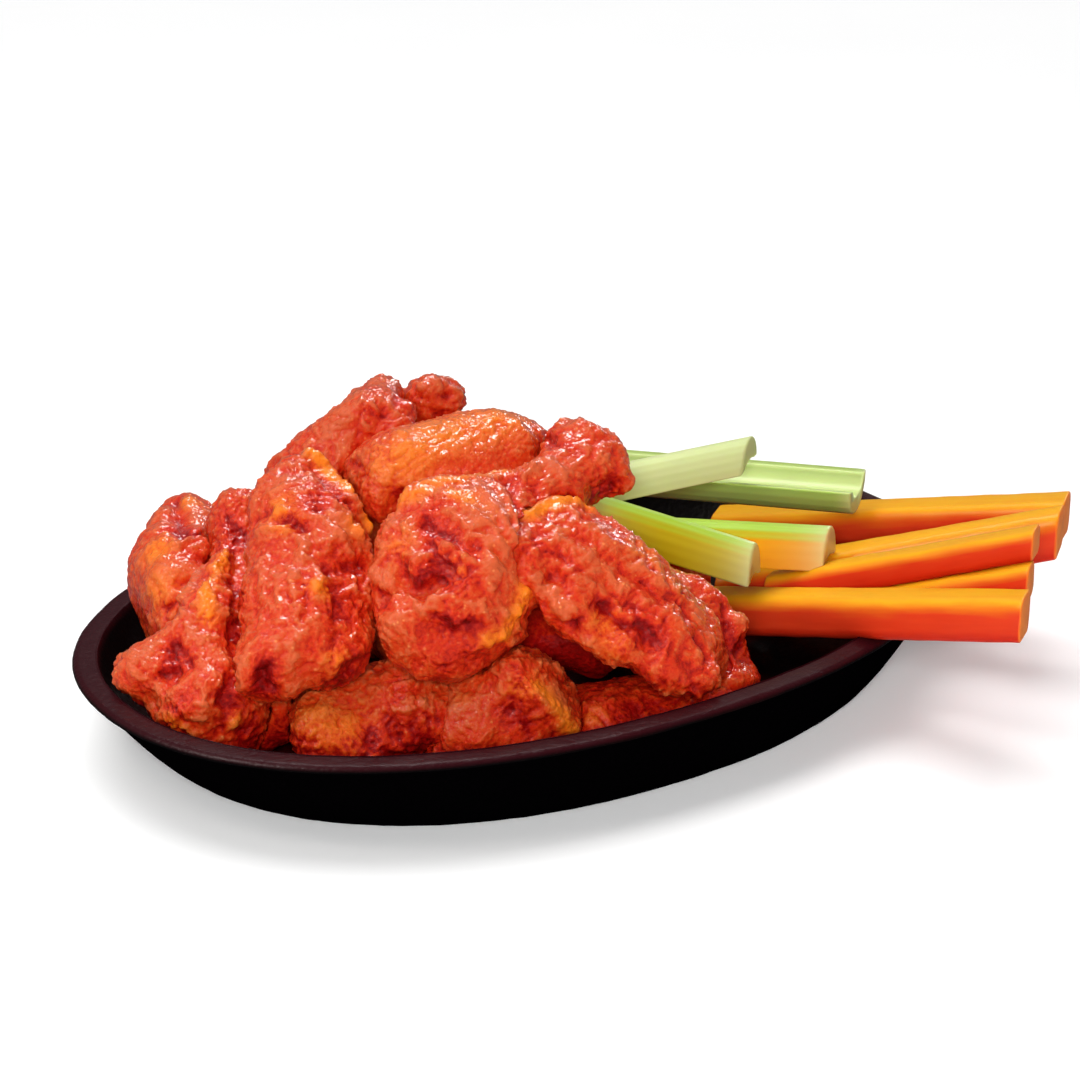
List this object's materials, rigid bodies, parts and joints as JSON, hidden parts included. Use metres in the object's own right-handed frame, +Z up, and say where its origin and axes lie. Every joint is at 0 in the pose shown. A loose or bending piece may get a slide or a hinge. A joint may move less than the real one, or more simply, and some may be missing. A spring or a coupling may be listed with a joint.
{
  "type": "chicken wings serving",
  "caption": "Sauced chicken wings heaped at one end of an oval cast iron platter, with celery and carrot sticks at the other end.",
  "frame": {"origin": "middle of the platter's flat foot, where it rests", "axes": "+X along the platter's long axis, towards the end with the vegetable sticks; +Y across the platter, towards its back; +Z up"},
  "size_m": [0.2622, 0.2046, 0.0779],
  "materials": {
    "cast_iron": "seasoned, near black, with a satin purple-brown rim and a fine pebbled cast skin",
    "sauced_wing": "deep-fried skin under a wet red-orange hot sauce",
    "carrot": "freshly cut, moist",
    "celery": "freshly cut, moist, with ribs along its back"
  },
  "bodies": {
    "root": {"platter": "cast_iron", "carrot_front": "carrot", "carrot_middle": "carrot", "carrot_back": "carrot", "carrot_near_low": "carrot", "carrot_upper": "carrot", "celery_long": "celery", "celery_top": "celery", "celery_low": "celery", "celery_front": "celery", "wing_front_left": "sauced_wing", "wing_front_right": "sauced_wing", "wing_front_middle": "sauced_wing", "wing_left_leaning": "sauced_wing", "wing_left_back": "sauced_wing", "wing_top": "sauced_wing", "wing_top_left": "sauced_wing", "wing_top_back": "sauced_wing", "wing_right": "sauced_wing", "wing_low_left": "sauced_wing", "wing_low_middle": "sauced_wing", "wing_low_right": "sauced_wing", "wing_inner_right": "sauced_wing", "wing_inner_left": "sauced_wing", "wing_under_back": "sauced_wing", "wing_under_middle": "sauced_wing", "wing_second_back": "sauced_wing", "wing_under_right": "sauced_wing", "wing_back_right": "sauced_wing"}
  },
  "joints": []
}
